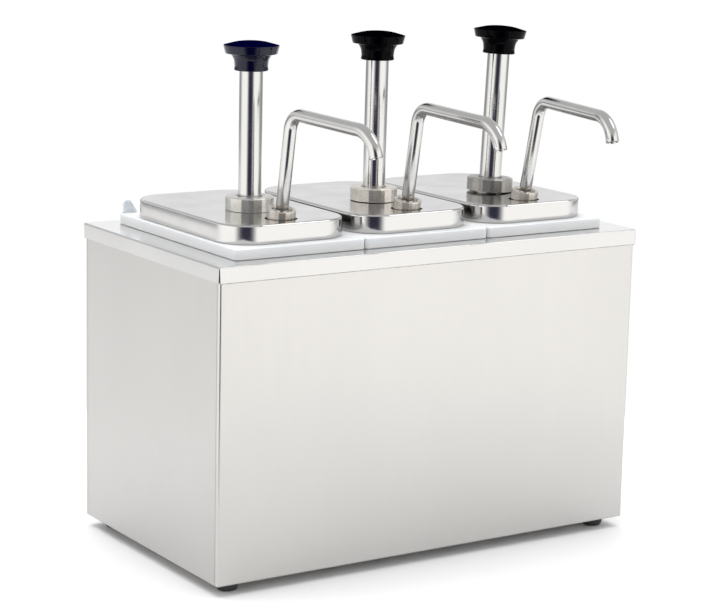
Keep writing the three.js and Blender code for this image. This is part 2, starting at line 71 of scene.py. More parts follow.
# Sheet metal
SHEET = 1.2
TOP_SHEET = 1.5
SEAM = 0.4  # gap where two folded sheets meet
CORNER_BEND = 3.0
PANEL_RETURN = 5.0  # how far the front and back panels reach round the corners
HEM_BEND = 2.2
HEM = 4.0  # how far the panels reach in under the cabinet
CAP_INSET = 20.0  # flat middles of the base pan and of the jars' floors start this far in
SKIRT_BEND = 1.8
BEAD = 0.7  # how far the dark bead of painted shadow under the skirt's foot stands out
BEAD_GAP = 0.05  # what parts it from the sheets
SLIT_DEPTH = 4.0
SLIT = (0.9, 2.4)  # width of the skirt's corner slits at their closed and open ends

# Jars and lids, half sizes from their middle
JAR_HALF = (71.5, 115.5)
JAR_WALL = 3.0
JAR_TAPER = 3.0
JAR_CORNER_R = 34.0
FLANGE_H = 11.9
FLANGE_CORNER_R = 5.0
NECK_INSET = 1.0
NECK_H = 8.0
EAR = (20.0, 3.0, 15.0)  # width, thickness, height
EAR_SHOULDER = 0.55  # where its slope ends, as a share of the width
EAR_HEEL = 0.12  # and where its upright side stands
EAR_INSET = 2.0
WELL_HALF = (235.0, 117.0)
LIP_H = 12.0
LID_CORNER_R = 39.0
LID_EDGE_R = 3.0
LID_TOP = box_mm("lid_left")[1].z
LID_HOLE_R = 17.6
PLAY = 0.3  # gap between two pieces that fit into each other

# Plunger, with heights above the floor when its pump stands upright
PLUNGER_BEHIND = 67.0  # from the spout's base back to the plunger's axis
BODY_R = 17.0
BORE_R = 15.3
BODY_BOTTOM = 134.0
SEAT_H = 2.0
SEAT_HOLE_R = 8.0
STUB_TOP = LID_TOP + 11.0
HEAD_R = 24.0
HEAD_H = 3.0
COLLAR_R = 26.6
COLLAR_H = 15.3
COLLAR_WEB_H = 3.7
COLLAR_BORE_R = 14.2
COLLAR_SINK = 0.24  # how much nearer to the lid it sits than its CAD node
COLLAR_CORNERS = 12
COLLAR_FLAT_SHARE = 0.66  # share of the way round that the wide flats take up
COLLAR_CHAMFERS = (0.3, 1.9)  # at the bottom and at the top
BUSHING_H = 36.0
BUSHING_TOP = STUB_TOP - 2.0
TUBE_R = 12.7
TUBE_WALL = 1.2
TUBE_BOTTOM = 257.6
KNOB_SOCKET_H = 12.0
KNOB_H = 32.4
KNOB_R = 30.5
KNOB_FOOT_R = 18.8
KNOB_WAIST = (18.0, 4.5)  # radius and height
KNOB_FLARE = ((18.9, 12.0), (22.4, 17.4))  # the same for the ends of the neck's flare
KNOB_RIM = ((28.3, 18.3), (KNOB_R, 27.3))  # and for the foot and the top of the rim
PISTON_R = 14.7
PISTON_H = 14.0
PISTON_BOTTOM = TUBE_BOTTOM - PLAY - PISTON_H
SPIGOT_H = 10.0
SEAL_H = 6.0
SEAL_DEPTH = 2.0
SPRING_R = 10.5
WIRE_R = 1.0
VALVE_R = 21.5
VALVE_BOTTOM = 98.0
VALVE_TOP = 158.0
VALVE_SEAT = 118.0
CHAMBER_R = 12.0
INLET_R = 6.0
BALL_R = 9.0
BOSS_R = 11.0
BOSS_BELOW = 16.0  # how far the boss reaches below and above the riser's foot
BOSS_ABOVE = 18.0
RISER_PORT = 6.0  # depth of the bore under the riser
RISER_CLEARANCE = 25.0  # free way above the boss, past the valve's body

# Riser, union nut and spout, measured along the leg from the lid's top face
NUT_R = 15.5
NUT_FROM = -1.0
NUT_TO = 11.0
NUT_LIP_R = 10.4
NUT_LIP = 6.3
NUT_CORNERS = 8
NUT_FLAT_SHARE = 0.6
NUT_CHAMFERS = (0.5, 0.9)
NUT_SHARP = 6  # edges of either nut that turn by more degrees than this stay sharp
RISER_R = 7.0
RISER_WALL = 1.5
RISER_STUB_R = 12.6
RISER_STUB = (-8.0, 3.7)
RISER_FOOT = -250.4
SPOUT_R = 7.0
SPOUT_WALL = 1.0
SPOUT_FROM = 4.0
FERRULE_R = 11.9
FERRULE_NECK_R = 9.9
FERRULE_TOP = 10.2
LEG_L = 116.0
ARM_L = 138.0
ARM_RISE = math.radians(7.3)
TIP_L = 26.5
TIP_DROP = math.radians(59.6)
ELBOW_R = 20.0
TIP_BEND_R = 32.0

# Each bay's knob height above the lid, play of the pump in the lid, resting spout yaw, and how far its
# two nuts are turned when tight; angles are in degrees
BAYS = {
    "left": {"knob_rise": 152.0, "play": 0.3, "yaw": 4, "collar_turn": 20, "nut_turn": 17},
    "middle": {"knob_rise": 158.5, "play": 0.6, "yaw": 1, "collar_turn": 5, "nut_turn": 2},
    "right": {"knob_rise": 160.5, "play": 1.5, "yaw": -5, "collar_turn": 16, "nut_turn": -3},
}

# The view: where the camera stands and which way it looks
CAMERA_AT = Vector((-1.4094, -2.1004, 0.7825))
CAMERA_AZIMUTH = math.radians(-33.07)
CAMERA_ELEVATION = math.radians(11.41)
CAMERA_ROLL = math.radians(1.27)
CAMERA_LENS = 115.75

# The floor and the lamps
FLOOR_R = 700.0
FLOOR_H = 20.0
OVERHEAD_FROM = (-0.1, 0.22, 1)

# Brightness of the room's parts, which only the metal and the shading see
FAR_WALL = (1.1, 1.1, 1.11)
SIDE_WALL = (1.42, 1.42, 1.42)
NEAR_WALL = (1.76, 1.74, 1.70)
HORIZON = (0.5, 0.5, 0.51)
BAND = (1.06, 1.06, 1.07)  # part of the wall behind that level steel mirrors
CEILING = (0.78, 0.78, 0.79)
STRIP = (0.05, 0.05, 0.085)  # dark curtain behind the camera
SOFTBOX_TOWARDS = (0.535, -0.2, 0.82)
SOFTBOX_EDGE = (12, 18)  # where its light starts to fall and where it ends, in degrees
SOFTBOX_GLOW = (3.2, 3.2, 3.2)

# Where the room's parts blend: first by how far a level direction faces the camera's side, then by height
FAR_TO_SIDE = (-0.75, -0.42)
SIDE_TO_NEAR = (-0.3, 0.25)
STRIP_EDGE = (38, 8)  # degrees from the camera's direction
BEHIND_TO_BEFORE = (-0.5, 0.0)
WALL_TO_HORIZON = (-0.14, -0.10)
HORIZON_TO_BAND = (0.095, 0.13)
BAND_TO_CEILING = (0.30, 0.50)
NEAR_TO_CEILING = (0.45, 0.7)


# ---- outlines and meshes ----


def rounded(points, steps=6):
    """Outline through (x, y, radius) points, whose corners are rounded to that radius."""
    outline = []
    for i, (x, y, radius) in enumerate(points):
        here = Vector((x, y))
        if radius == 0:
            outline.append(here)
            continue
        into = (Vector(points[i - 1][:2]) - here).normalized()
        out = (Vector(points[(i + 1) % len(points)][:2]) - here).normalized()
        half = into.angle(out) / 2
        centre = here + (into + out).normalized() * (radius / math.sin(half))
        start = here + into * (radius / math.tan(half)) - centre
        end = here + out * (radius / math.tan(half)) - centre
        first = math.atan2(start.y, start.x)
        sweep = (math.atan2(end.y, end.x) - first + math.pi) % (2 * math.pi) - math.pi
        for step in range(steps + 1):
            angle = first + sweep * step / steps
            outline.append(centre + Vector((math.cos(angle), math.sin(angle))) * radius)
    return outline


def rectangle_ring(half_x, half_y, radius, z, steps=10):
    """Ring of points round a rectangle with rounded corners."""
    ring = []
    for corner, (sign_x, sign_y) in enumerate(((1, 1), (-1, 1), (-1, -1), (1, -1))):
        middle = Vector((sign_x * (half_x - radius), sign_y * (half_y - radius), z))
        for step in range(steps + 1):
            angle = (corner + step / steps) * math.pi / 2
            ring.append(middle + Vector((math.cos(angle), math.sin(angle), 0)) * radius)
    return ring


def mesh_piece(name, points, faces):
    mesh = bpy.data.meshes.new(name)
    mesh.from_pydata([tuple(point * MM) for point in points], [], faces)
    body = bmesh.new()
    body.from_mesh(mesh)
    bmesh.ops.remove_doubles(body, verts=body.verts, dist=1e-7)
    bmesh.ops.recalc_face_normals(body, faces=body.faces)
    body.to_mesh(mesh)
    body.free()
    piece = bpy.data.objects.new(name, mesh)
    bpy.context.scene.collection.objects.link(piece)
    return piece


def lofted(name, rings, wrap=False):
    """Skin over rings of as many points each: capped at both ends, or wrapped from the last to the first."""
    count = len(rings[0])
    points = [point for ring in rings for point in ring]
    pairs = [(i, i + 1) for i in range(len(rings) - 1)]
    faces = []
    if wrap:
        pairs.append((len(rings) - 1, 0))
    else:
        last = (len(rings) - 1) * count
        faces += [list(range(count))[::-1], list(range(last, last + count))]
    for low, high in pairs:
        for k in range(count):
            after = (k + 1) % count
            faces.append([low * count + k, low * count + after, high * count + after, high * count + k])
    return mesh_piece(name, points, faces)


def turned(name, outline, segments=72):
    """Solid of revolution about Z. Its outline, of (radius, height, rounding) points, starts and ends
    on the axis or goes round a bore."""
    on_axis = outline[0][0] == 0
    profile = rounded(outline)
    rings = []
    for point in profile:
        turns = [2 * math.pi * k / segments for k in range(segments)]
        rings.append([Vector((point.x * math.cos(a), point.x * math.sin(a), point.y)) for a in turns])
    if not on_axis:
        return lofted(name, rings, wrap=True)
    points = [Vector((0, 0, profile[0].y)), Vector((0, 0, profile[-1].y))]
    points += [point for ring in rings[1:-1] for point in ring]
    faces = []
    inner = len(rings) - 2
    for k in range(segments):
        after = (k + 1) % segments
        last = 2 + (inner - 1) * segments
        faces.append([0, 2 + after, 2 + k])
        faces.append([1, last + k, last + after])
        for i in range(inner - 1):
            low = 2 + i * segments
            faces.append([low + k, low + after, low + segments + after, low + segments + k])
    return mesh_piece(name, points, faces)


def swept(name, path, radius, wall=0, segments=40):
    """Round bar, or tube with a wall, along a path of points."""
    stations = []
    side = None
    for i, here in enumerate(path):
        ahead = path[min(i + 1, len(path) - 1)] - path[max(i - 1, 0)]
        ahead.normalize()
        if side is None:
            side = ahead.orthogonal().normalized()
        side = (side - ahead * side.dot(ahead)).normalized()
        stations.append((here, side, ahead.cross(side)))

    def rings(r):
        turns = [2 * math.pi * k / segments for k in range(segments)]
        return [[at + (u * math.cos(a) + v * math.sin(a)) * r for a in turns] for at, u, v in stations]

    if wall:
        return lofted(name, rings(radius) + rings(radius - wall)[::-1], wrap=True)
    return lofted(name, rings(radius))


def applied(piece):
    """Bakes a piece's modifiers into its mesh."""
    bpy.context.view_layer.update()
    evaluated = piece.evaluated_get(bpy.context.evaluated_depsgraph_get())
    mesh = bpy.data.meshes.new_from_object(evaluated)
    piece.modifiers.clear()
    piece.data = mesh
    return piece


def combined(piece, other, operation):
    """Joins or cuts a piece with another solid, which is used up."""
    modifier = piece.modifiers.new("combine", "BOOLEAN")
    modifier.operation = operation
    modifier.solver = "EXACT"
    modifier.object = other
    applied(piece)
    bpy.data.objects.remove(other)
    return piece


def cut(piece, *cutters):
    for cutter in cutters:
        combined(piece, cutter, "DIFFERENCE")
    return piece


def bevelled(piece, width, angle, segments=2):
    """Rounds the edges that are sharper than an angle in degrees."""
    modifier = piece.modifiers.new("bevel", "BEVEL")
    modifier.width = width * MM
    modifier.segments = segments
    modifier.limit_method = "ANGLE"
    modifier.angle_limit = math.radians(angle)
    return applied(piece)


def moved(piece, matrix):
    """Moves a piece's mesh by a matrix whose offset is in millimetres."""
    metres = matrix.copy()
    metres.translation = matrix.translation * MM
    piece.data.transform(metres)
    return piece


def standing_in(piece, node, look, sharp=32):
    """Shades a piece, flat where it is level or many-cornered, and puts it in the place of its CAD node."""
    piece.data.set_sharp_from_angle(angle=math.radians(sharp))
    for polygon in piece.data.polygons:
        polygon.use_smooth = len(polygon.vertices) < 5 and abs(polygon.normal.z) < 0.9999
    piece.data.materials.clear()
    piece.data.materials.append(look)
    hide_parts(node)
    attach(piece, BODY_OF[node])
    return piece


# ---- materials ----


class Look:
    """A Principled material and short ways to add procedural detail to it."""

    def __init__(self, name, color, roughness, metallic=0.0):
        self.material = bpy.data.materials.new(name)
        self.material.use_nodes = True
        self.tree = self.material.node_tree
        self.shader = self.tree.nodes["Principled BSDF"]
        self.color = color
        self.shader.inputs["Base Color"].default_value = (*color, 1)
        self.shader.inputs["Roughness"].default_value = roughness
        self.shader.inputs["Metallic"].default_value = metallic
        self.coordinates = self.tree.nodes.new("ShaderNodeTexCoord").outputs["Object"]
        self.normal = None

    def noise(self, scale, stretch=(1, 1, 1), detail=3.0, offset=(0, 0, 0)):
        """Noise with features about 1/scale metres wide, drawn out where the stretch is below 1."""
        mapping = self.tree.nodes.new("ShaderNodeMapping")
        mapping.inputs["Scale"].default_value = [scale * s for s in stretch]
        mapping.inputs["Location"].default_value = offset
        self.tree.links.new(self.coordinates, mapping.inputs["Vector"])
        noise = self.tree.nodes.new("ShaderNodeTexNoise")
        noise.inputs["Scale"].default_value = 1
        noise.inputs["Detail"].default_value = detail
        self.tree.links.new(mapping.outputs["Vector"], noise.inputs["Vector"])
        return noise.outputs["Fac"]

    def upward(self):
        """How far the surface faces up, from -1 to 1."""
        split = self.tree.nodes.new("ShaderNodeSeparateXYZ")
        geometry = self.tree.nodes.new("ShaderNodeNewGeometry")
        self.tree.links.new(geometry.outputs["Normal"], split.inputs["Vector"])
        return split.outputs["Z"]

    def between(self, value, low, high, start=0.3, end=0.7):
        """Turns a value between start and end into one between low and high."""
        node = self.tree.nodes.new("ShaderNodeMapRange")
        node.inputs["From Min"].default_value = start
        node.inputs["From Max"].default_value = end
        node.inputs["To Min"].default_value = low
        node.inputs["To Max"].default_value = high
        self.tree.links.new(value, node.inputs["Value"])
        return node.outputs["Result"]

    def rough(self, value, low, high):
        self.tree.links.new(self.between(value, low, high), self.shader.inputs["Roughness"])
        return self

    def shine(self, value, low, high, start, end):
        level = self.between(value, low, high, start, end)
        self.tree.links.new(level, self.shader.inputs["Specular IOR Level"])
        return self

    def tint(self, value, other, start=0.3, end=0.7):
        """Blends the colour so far into another where the value is high."""
        node = self.tree.nodes.new("ShaderNodeMix")
        node.data_type = "RGBA"
        base = self.shader.inputs["Base Color"]
        if base.is_linked:
            self.tree.links.new(base.links[0].from_socket, node.inputs["A"])
        else:
            node.inputs["A"].default_value = (*self.color, 1)
        node.inputs["B"].default_value = (*other, 1)
        self.tree.links.new(self.between(value, 0, 1, start, end), node.inputs["Factor"])
        self.tree.links.new(node.outputs["Result"], base)
        return self

    def bump(self, value, height, strength=1.0):
        """Adds relief of a height in millimetres."""
        node = self.tree.nodes.new("ShaderNodeBump")
        node.inputs["Distance"].default_value = height * MM
        node.inputs["Strength"].default_value = strength
        self.tree.links.new(value, node.inputs["Height"])
        if self.normal:
            self.tree.links.new(self.normal, node.inputs["Normal"])
        self.normal = node.outputs["Normal"]
        self.tree.links.new(self.normal, self.shader.inputs["Normal"])
        return self

    def set(self, **values):
        for name, value in values.items():
            self.shader.inputs[name.replace("_", " ")].default_value = value
        return self


def brushed_panel():
    look = Look("brushed_panel", (0.515, 0.507, 0.493), 0.34, 1.0)
    grain = look.noise(900, (1, 1, 0.02), 4)
    cloud = look.noise(7, (1, 1, 0.6), 2)
    look.tint(cloud, (0.50, 0.492, 0.478))
    look.rough(grain, 0.28, 0.38)
    look.bump(grain, 0.01, 0.2)
    return look.material


def frame_steel():
    look = Look("frame_steel", (0.53, 0.526, 0.52), 0.2, 1.0)
    grain = look.noise(900, (0.02, 1, 1), 4)
    cloud = look.noise(12, (0.5, 1, 1), 2)
    look.tint(cloud, (0.51, 0.505, 0.50))
    # Painted highlight: faces that point up are made much lighter than the rest of the frame
    look.tint(look.upward(), (0.86, 0.86, 0.855), 0.9, 1.0)
    look.rough(grain, 0.17, 0.25)
    look.bump(grain, 0.006, 0.2)
    return look.material


def lid_steel():
    look = Look("lid_steel", (0.52, 0.515, 0.508), 0.12, 1.0)
    grain = look.noise(1200, (0.03, 1, 1), 3)
    smudge = look.noise(30, detail=3)
    look.rough(smudge, 0.10, 0.18)
    look.bump(grain, 0.004, 0.2)
    return look.material


def polished_tube():
    look = Look("polished_tube", (0.51, 0.506, 0.498), 0.13, 1.0)
    grain = look.noise(1500, (1, 1, 0.04), 2)
    smudge = look.noise(45, detail=4)
    look.rough(smudge, 0.10, 0.18)
    look.bump(grain, 0.004, 0.2)
    return look.material


def satin_spout():
    look = Look("satin_spout", (0.52, 0.515, 0.505), 0.23, 1.0)
    drawn = look.noise(1100, detail=3)
    smudge = look.noise(60, detail=4)
    look.tint(smudge, (0.49, 0.485, 0.475))
    look.rough(smudge, 0.11, 0.17)
    look.bump(drawn, 0.006, 0.25)
    return look.material


def cast_steel(name, color, stain):
    look = Look(name, color, 0.3, 0.78)
    grit = look.noise(900, detail=5)
    patch = look.noise(90, detail=4)
    look.tint(patch, stain)
    look.rough(grit, 0.23, 0.37)
    look.bump(grit, 0.03, 0.4)
    return look.material


def inner_steel():
    look = Look("inner_steel", (0.53, 0.53, 0.525), 0.28, 1.0)
    lathe_marks = look.noise(1600, (0.03, 0.03, 1), 2)
    look.rough(lathe_marks, 0.22, 0.34)
    look.bump(lathe_marks, 0.003, 0.15)
    return look.material


def spring_steel():
    look = Look("spring_steel", (0.50, 0.51, 0.53), 0.3, 1.0)
    drawn = look.noise(700, detail=3)
    look.rough(drawn, 0.24, 0.4)
    look.bump(drawn, 0.01, 0.4)
    return look.material


def jar_plastic():
    look = Look("jar_plastic", (0.62, 0.632, 0.642), 0.5)
    cloud = look.noise(25, detail=2)
    skin = look.noise(500, detail=3)
    look.tint(cloud, (0.645, 0.655, 0.664))
    look.rough(skin, 0.45, 0.6)
    look.bump(skin, 0.02, 0.3)
    look.set(Subsurface_Weight=0.4, Subsurface_Scale=0.01, Subsurface_Radius=(0.8, 1.0, 1.2))
    look.set(Specular_IOR_Level=0.25)
    return look.material


def knob_plastic(name, color, specular):
    look = Look(name, color, 0.07)
    skin = look.noise(260, detail=3)
    dust = look.noise(60, detail=5)
    look.rough(dust, 0.05, 0.10)
    look.bump(skin, 0.02, 0.2)
    look.shine(look.upward(), specular, 0, 0.6, 0.85)  # painted shade: the reflection fades out where the crown faces up, so the top stays dark
    return look.material


def bushing_plastic():
    look = Look("bushing_plastic", (0.80, 0.79, 0.74), 0.45)
    lathe_marks = look.noise(900, (0.05, 0.05, 1), 2)
    look.tint(look.noise(60), (0.76, 0.75, 0.70))
    look.bump(lathe_marks, 0.01, 0.5)
    return look.material


def rubber(name):
    look = Look(name, (0.018, 0.018, 0.02), 0.7)
    skin = look.noise(700, detail=4)
    look.tint(look.noise(120), (0.035, 0.035, 0.037))
    look.rough(skin, 0.6, 0.8)
    look.bump(skin, 0.05, 0.5)
    return look.material


def painted_seam_shadow():
    # Painted shadow: dark line under the skirt's foot, broken up like a glue seam
    look = Look("painted_seam_shadow", (0.10, 0.075, 0.065), 0.6)
    breaks = look.noise(330, detail=4)
    look.tint(breaks, (0.50, 0.47, 0.44), 0.45, 0.62)
    look.rough(breaks, 0.5, 0.7)
    look.bump(breaks, 0.1, 0.5)
    return look.material


# ---- cabinet ----

TOP_LOW, TOP_HIGH = box_mm("top_frame")
FRONT_LOW, FRONT_HIGH = box_mm("front_panel")
BACK_HIGH = box_mm("back_panel")[1]
CABINET_MIDDLE = Matrix.Translation((0, (TOP_LOW.y + TOP_HIGH.y) / 2, 0))
PANEL_HALF_X = FRONT_HIGH.x
PANEL_HALF_Y = (BACK_HIGH.y - FRONT_LOW.y) / 2


def hemmed_sheet(name, plan, bottom, top):
    """Upright sheet along a plan outline, with a bend that turns its foot inwards. plan(inset) gives the
    outline moved in by that much."""
    section = [(0, top), *rounded_hem(HEM_BEND, bottom), (HEM, bottom)]
    inner_hem = rounded_hem(HEM_BEND - SHEET, bottom + SHEET, SHEET)
    inner = [(HEM, bottom + SHEET), *inner_hem[::-1], (SHEET, top)]
    outlines = [(plan(inset), z) for inset, z in section + inner]
    stations = range(len(outlines[0][0]))
    return lofted(name, [[Vector((*outline[k], z)) for outline, z in outlines] for k in stations])


def rounded_hem(radius, bottom, inset=0.0, steps=6):
    """Quarter turn that takes an upright sheet inwards, as (inset, height) points."""
    quarter = [math.pi / 2 * step / steps for step in range(steps + 1)]
    return [
        (inset + radius * (1 - math.cos(a)), bottom + radius * (1 - math.sin(a))) for a in quarter
    ]


def wrapped_panel(name, facing):
    """Front or back panel, whose upright edges are bent round the cabinet's corners."""
    end = PANEL_HALF_Y - PANEL_RETURN

    def plan(inset):
        x = PANEL_HALF_X - inset
        y = PANEL_HALF_Y - inset
        radius = max(CORNER_BEND - inset, SEAM)
        corners = [(-x, end, 0), (-x, y, radius), (x, y, radius), (x, end, 0)]
        return [Vector((point.x, facing * point.y)) for point in rounded(corners)]

    return hemmed_sheet(name, plan, FRONT_LOW.z, FRONT_HIGH.z)


def side_panel(name, facing):
    reach = PANEL_HALF_Y - PANEL_RETURN - SEAM

    def plan(inset):
        x = facing * (PANEL_HALF_X - inset)
        return [Vector((x, -reach)), Vector((x, reach))]

    return hemmed_sheet(name, plan, FRONT_LOW.z, FRONT_HIGH.z)


def top_frame():
    """Folded rim: skirt outside, flat top, and a lip that goes down into the well."""
    half = Vector((TOP_HIGH.x, (TOP_HIGH.y - TOP_LOW.y) / 2))
    across = half - Vector(WELL_HALF)
    top = TOP_HIGH.z
    lip_bottom = top - LIP_H
    profile = rounded(
        [
            (0, TOP_LOW.z, 0.3),
            (0, top, SKIRT_BEND),
            (across.y, top, SKIRT_BEND),
            (across.y, lip_bottom, 0.3),
            (across.y - SHEET, lip_bottom, 0.3),
            (across.y - SHEET, top - TOP_SHEET, 0.4),
            (SHEET, top - TOP_SHEET, 0.4),
            (SHEET, TOP_LOW.z, 0.3),
        ]
    )
    rings = []
    for point in profile:
        share = point.x / across.y
        rings.append(
            rectangle_ring(half.x - share * across.x, half.y - point.x, 0.6 + 5 * share, point.y, 4)
        )
    piece = lofted("top_frame_skin", rings, wrap=True)
    for sign_x in (-1, 1):
        for sign_y in (-1, 1):
            cut(piece, slit(Vector((sign_x, sign_y, 0)), half))
    return piece


def slit(signs, half):
    """Wedge that cuts one corner of the skirt open, wider towards its foot."""
    corner = Vector((signs.x * half.x, signs.y * half.y, 0))
    out = signs.normalized() * SLIT_DEPTH
    along = Vector((-signs.y, signs.x, 0)).normalized()
    foot = Vector((0, 0, TOP_LOW.z - 1))
    head = Vector((0, 0, TOP_HIGH.z - SKIRT_BEND))
    rings = [
        [
            corner + way + foot - along * SLIT[1] / 2,
            corner + way + foot + along * SLIT[1] / 2,
            corner + way + head + along * SLIT[0] / 2,
            corner + way + head - along * SLIT[0] / 2,
        ]
        for way in (-out, out)
    ]
    return lofted("slit", rings)


def skirt_bead(name, facing):
    """Dark bead under the skirt's foot along the front or back panel: a painted shadow line where the skirt
    meets the panel.
    """
    near, far = facing * (PANEL_HALF_Y + BEAD_GAP), facing * (PANEL_HALF_Y + BEAD)
    bottom, top = TOP_LOW.z - BEAD, TOP_LOW.z - BEAD_GAP
    section = [(near, bottom), (far, (bottom + top) / 2), (far, top), (near, top)]
    rings = [[Vector((x, y, z)) for y, z in section] for x in (-PANEL_HALF_X, PANEL_HALF_X)]
    return lofted(name, rings)


def base_pan():
    bottom = FRONT_LOW.z + SHEET + SEAM
    rim = box_mm("base_pan")[1].z
    half = box_mm("base_pan")[1].x, PANEL_HALF_Y - SHEET - SEAM
    profile = rounded(
        [
            (CAP_INSET, bottom, 0),
            (0, bottom, 2),
            (0, rim, 0.4),
            (SHEET, rim, 0.4),
            (SHEET, bottom + SHEET, 1),
            (CAP_INSET, bottom + SHEET, 0),
        ]
    )
    rings = [rectangle_ring(half[0] - p.x, half[1] - p.x, 3 + p.x / 4, p.y, 4) for p in profile]
    return lofted("base_pan_skin", rings)


def foot(name, node):
    low, high = box_mm(node)
    r = (high.x - low.x) / 2
    outline = [
        (0, 0, 0),
        (r - 4.5, 0, 0.8),
        (r - 1.5, 1.2, 2),
        (r, 5, 2),
        (r, high.z - 2.4, 0.5),
        (r - 1, high.z - 1.6, 0.5),
        (r - 0.6, high.z, 0.4),
        (0, high.z, 0),
    ]
    piece = turned(name, outline, 48)
    return moved(piece, Matrix.Translation(((low.x + high.x) / 2, (low.y + high.y) / 2, 0)))


def cabinet(panel, smooth, black, seam_shadow_look):
    for node, piece, steel in (
        ("front_panel", wrapped_panel("front_panel_skin", -1), panel),
        ("back_panel", wrapped_panel("back_panel_skin", 1), panel),
        ("left_side_panel", side_panel("left_side_panel_skin", -1), panel),
        ("right_side_panel", side_panel("right_side_panel_skin", 1), panel),
        ("top_frame", top_frame(), smooth),
        ("base_pan", base_pan(), panel),
        # Dark beads of painted shadow along the skirt's foot
        ("top_frame", skirt_bead("front_bead", -1), seam_shadow_look),
        ("top_frame", skirt_bead("back_bead", 1), seam_shadow_look),
    ):
        standing_in(moved(piece, CABINET_MIDDLE), node, steel)
    for node in ("foot_front_left", "foot_front_right", "foot_back_left", "foot_back_right"):
        standing_in(foot(node + "_pad", node), node, black)


# ---- one bay ----


def jar(side, plastic):
    node = f"jar_{side}"
    low, high = box_mm(node)
    flange_half = Vector(((high.x - low.x) / 2, (high.y - low.y) / 2))
    flange_bottom = TOP_HIGH.z + PLAY
    flange_top = flange_bottom + FLANGE_H
    neck_top = flange_top + NECK_H
    bottom = low.z
    reach = flange_half.y - JAR_HALF[1]
    profile = rounded(
        [
            (-CAP_INSET, bottom, 0),
            (0, bottom, 6),
            (0, flange_bottom, 0.4),
            (reach, flange_bottom, 0.8),
            (reach, flange_top, 1.0),
            (-NECK_INSET, flange_top, 1.5),
            (-NECK_INSET, neck_top, 0.8),
            (-JAR_WALL, neck_top, 0.8),
            (-JAR_WALL, bottom + JAR_WALL, 5),
            (-CAP_INSET, bottom + JAR_WALL, 0),
        ]
    )
    rings = []
    for point in profile:
        share = max(point.x, 0) / reach
        inset = min(point.x, 0)
        taper = JAR_TAPER * max(flange_bottom - point.y, 0) / (flange_bottom - bottom)
        half_x = JAR_HALF[0] + inset - taper + share * (flange_half.x - JAR_HALF[0])
        half_y = JAR_HALF[1] + inset - taper + share * reach
        radius = (1 - share) * (JAR_CORNER_R + inset) + share * FLANGE_CORNER_R
        rings.append(rectangle_ring(half_x, half_y, radius, point.y))
    piece = lofted(f"{node}_shell", rings)
    width, thick, height = EAR
    ear_outline = rounded(
        [
            (0, -1, 0),
            (width, -1, 0),
            (width, 1, 4),
            (width * EAR_SHOULDER, height, 5),
            (width * EAR_HEEL, height, 4),
            (width * EAR_HEEL, 3, 1.5),
            (0, 1, 0.5),
        ]
    )
    back = flange_half.y - 0.2
    ear_rings = [
        [Vector((p.x - flange_half.x + EAR_INSET, y, p.y + flange_top)) for p in ear_outline]
        for y in (back - thick, back)
    ]
    ear = bevelled(lofted("ear", ear_rings), 0.8, 50, 3)
    combined(piece, ear, "UNION")
    centre = Matrix.Translation(((low.x + high.x) / 2, CABINET_MIDDLE.translation.y, 0))
    standing_in(moved(piece, centre), node, plastic)


def lid(side, steel):
    node = f"lid_{side}"
    low, high = box_mm(node)
    half = (high - low) / 2
    middle = (high + low) / 2
    profile = rounded(
        [
            (8, high.z, 0),
            (0, high.z, LID_EDGE_R),
            (0, low.z, 0.4),
            (SHEET, low.z, 0.4),
            (SHEET, high.z - SHEET, LID_EDGE_R - SHEET),
            (8, high.z - SHEET, 0),
        ]
    )
    rings = [rectangle_ring(half.x - p.x, half.y - p.x, LID_CORNER_R - p.x, p.y, 14) for p in profile]
    piece = moved(lofted(f"{node}_shell", rings), Matrix.Translation((middle.x, middle.y, 0)))
    base = leg_frame(side).translation
    for behind, radius in ((PLUNGER_BEHIND, BODY_R + 2 * PLAY), (0, LID_HOLE_R)):
        hole = solid_disc("hole", radius, high.z - 2 * LID_EDGE_R, high.z + 1)
        cut(piece, moved(hole, Matrix.Translation((base.x, base.y + behind, 0))))
    bevelled(piece, 0.25, 60)
    standing_in(piece, node, steel, 25)


def solid_disc(name, radius, bottom, top, rounding=0.0):
    return turned(name, [(0, bottom, 0), (radius, bottom, rounding), (radius, top, rounding), (0, top, 0)])


def pivot_frame(side):
    """Matrix to the spout's base in the lid's top face, turned by the pump's lean to the side."""
    up = Vector(JOINTS[f"check_ball_lift_{side}"]["axis"])
    base = Vector(JOINTS[f"spout_swivel_{side}"]["pos_m"]) / MM
    return Matrix.Translation(base) @ Matrix.Rotation(math.atan2(up.x, up.z), 4, "Y")


def plunger_frame(side):
    """Matrix from the plunger's own frame, whose heights are above the floor while the pump is upright."""
    return pivot_frame(side) @ Matrix.Translation((0, PLUNGER_BEHIND, -LID_TOP))


def leg_frame(side, yaw=0.0):
    """Matrix from the leg's own frame, whose Z runs up the leg from the lid's top face."""
    tilt = math.asin(-JOINTS[f"spout_swivel_{side}"]["axis"][1])
    return pivot_frame(side) @ Matrix.Rotation(tilt, 4, "X") @ Matrix.Rotation(math.radians(yaw), 4, "Z")


def nut(name, radius, bottom, top, corners, flat_share, turn, chamfers, inside):
    """Nut whose corners are cut off, so wide flats and narrow ones take turns, bored by an inside solid."""
    step = 2 * math.pi / corners
    angles = []
    for i in range(corners):
        angles += [(i - flat_share / 2) * step, (i + flat_share / 2) * step]
    angles = [angle + math.radians(turn) for angle in angles]
    low_chamfer, high_chamfer = chamfers
    levels = [
        (radius - low_chamfer, bottom),
        (radius, bottom + low_chamfer),
        (radius, top - 0.8 * high_chamfer),
        (radius - high_chamfer, top),
    ]
    rings = [[Vector((r * math.cos(a), r * math.sin(a), z)) for a in angles] for r, z in levels]
    piece = cut(lofted(name, rings), inside)
    return bevelled(piece, 0.3, 12, 1)


